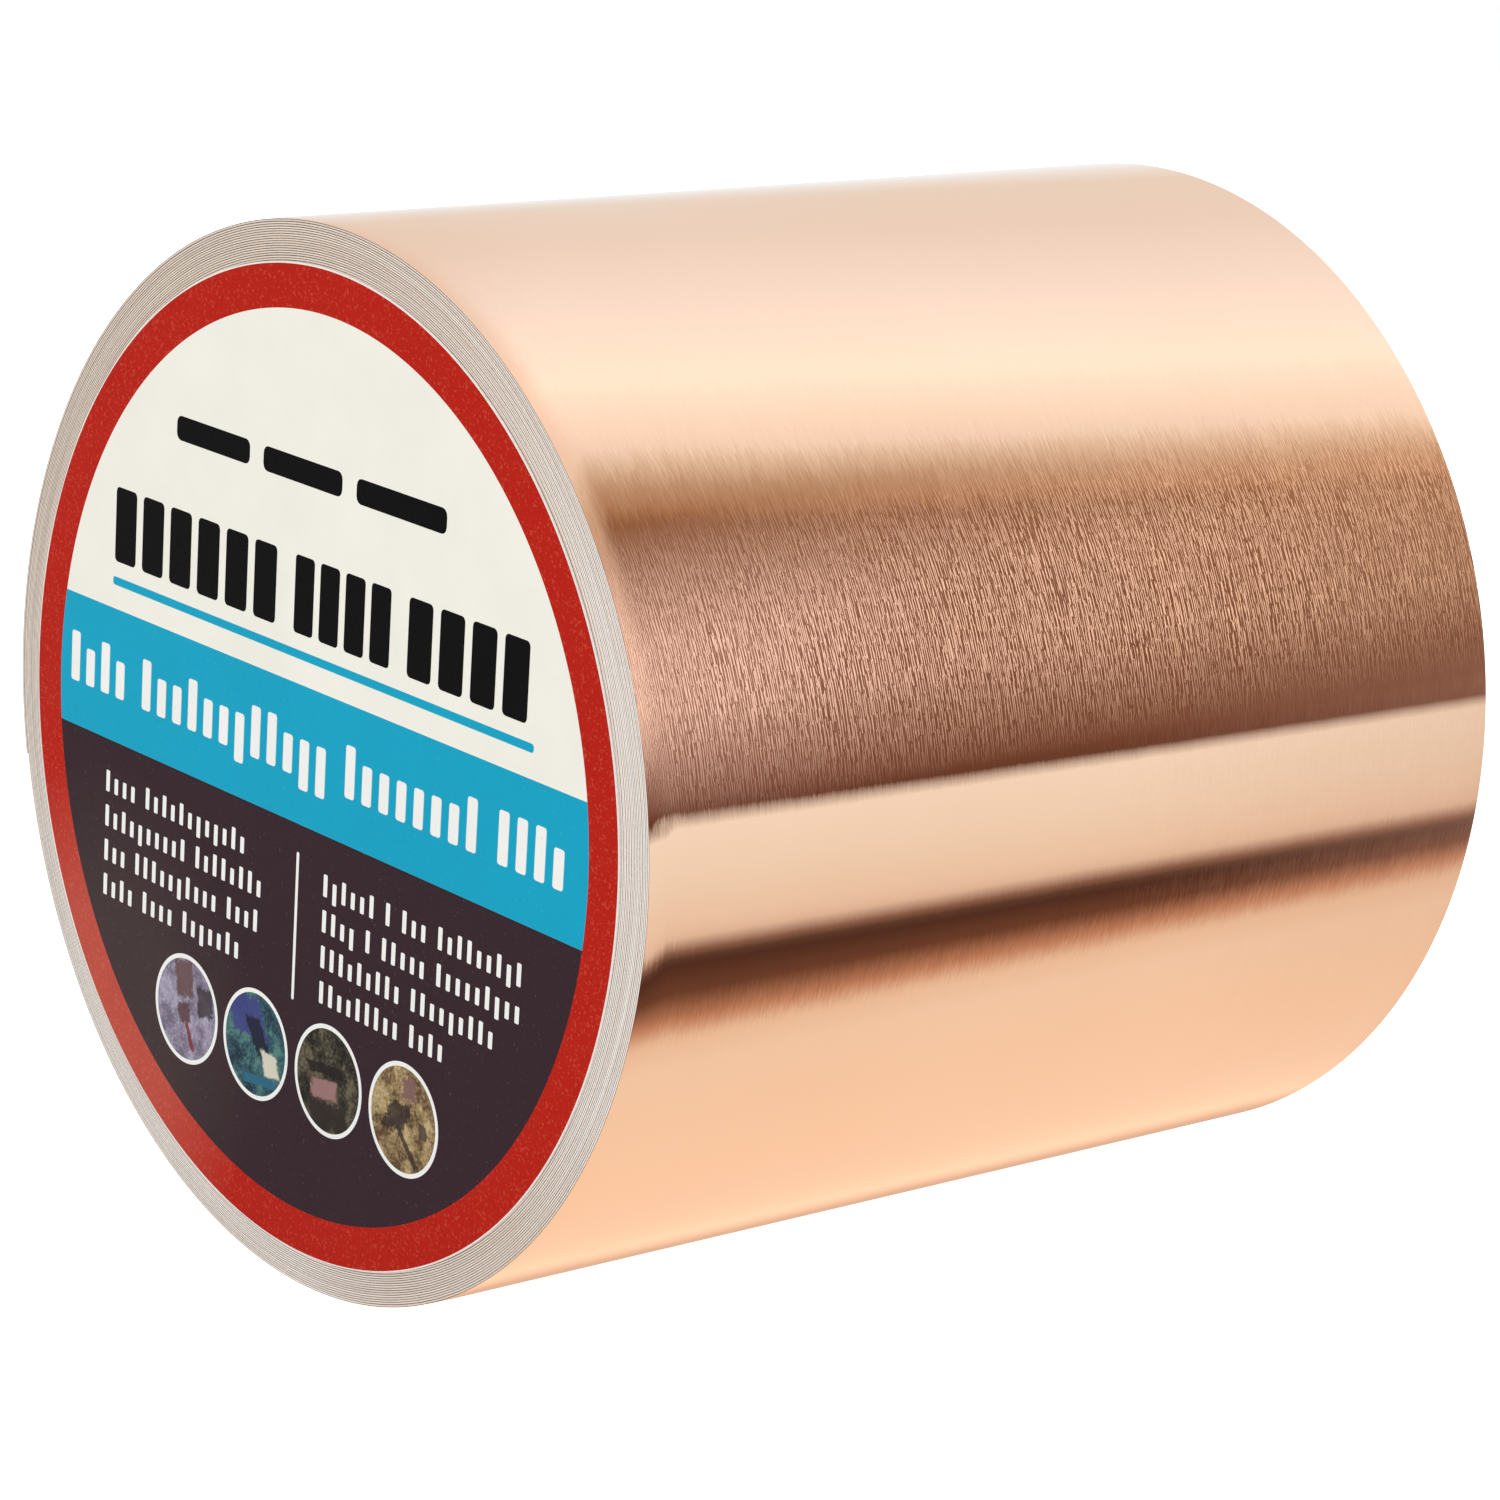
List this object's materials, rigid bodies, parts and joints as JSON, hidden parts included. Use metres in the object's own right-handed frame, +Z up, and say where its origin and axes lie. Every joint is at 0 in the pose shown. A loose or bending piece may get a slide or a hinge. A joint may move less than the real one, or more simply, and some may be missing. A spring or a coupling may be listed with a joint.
{
  "type": "copper foil tape roll",
  "caption": "Wide roll of adhesive-backed copper foil tape on a paper core, with a round printed label over one end and a free end that lifts and peels.",
  "frame": {"origin": "middle of the roll on its axis", "axes": "+Y along the roll's axis, out of the open end; the label is on the -Y end; +Z up with the roll lying on its side"},
  "size_m": [0.0988, 0.1018, 0.0987],
  "materials": {
    "core_paper": "matte",
    "core_facing_paper": "matte",
    "release_paper": "satin",
    "copper_foil": "brushed",
    "transfer_adhesive": "satin",
    "printed_paper": "satin"
  },
  "bodies": {
    "roll": {"core_inner_ply": "core_facing_paper", "core_body_ply_1": "core_paper", "core_body_ply_2": "core_paper", "core_body_ply_3": "core_paper", "core_body_ply_4": "core_paper", "core_body_ply_5": "core_paper", "core_outer_ply": "core_facing_paper", "core_start_tape": "transfer_adhesive", "inner_turns_liner": "release_paper", "inner_turns_adhesive": "transfer_adhesive", "inner_turns_foil": "copper_foil", "outer_turn_liner": "release_paper", "outer_turn_adhesive": "transfer_adhesive", "outer_turn_foil": "copper_foil", "label_adhesive": "transfer_adhesive", "label_paper": "printed_paper"},
    "lead_1": {"lead_1_liner": "release_paper", "lead_1_adhesive": "transfer_adhesive", "lead_1_foil": "copper_foil"},
    "lead_2": {"lead_2_liner": "release_paper", "lead_2_adhesive": "transfer_adhesive", "lead_2_foil": "copper_foil"},
    "lead_3": {"lead_3_liner": "release_paper", "lead_3_adhesive": "transfer_adhesive", "lead_3_foil": "copper_foil"},
    "peeled_tip": {"tip_adhesive": "transfer_adhesive", "tip_foil": "copper_foil"}
  },
  "joints": [
    {"name": "lead_lift", "type": "hinge", "parent": "roll", "child": "lead_1", "pos_m": [-0.02089, 0, 0.0448], "axis": [0, 1, 0], "range_deg": [0, 60]},
    {"name": "lead_curl_2", "type": "hinge", "parent": "lead_1", "child": "lead_2", "pos_m": [-0.03733, 0, 0.03242], "axis": [0, 1, 0], "range_deg": [0, 24]},
    {"name": "lead_curl_3", "type": "hinge", "parent": "lead_2", "child": "lead_3", "pos_m": [-0.0473, 0, 0.01442], "axis": [0, 1, 0], "range_deg": [0, 24]},
    {"name": "tip_peel", "type": "hinge", "parent": "lead_3", "child": "peeled_tip", "pos_m": [-0.04886, 0, 0.00769], "axis": [0, 1, 0], "range_deg": [0, 75]}
  ],
  "couplings": [
    {"joint": "lead_curl_2", "follows": "lead_lift", "ratio": 0.4},
    {"joint": "lead_curl_3", "follows": "lead_lift", "ratio": 0.4}
  ]
}
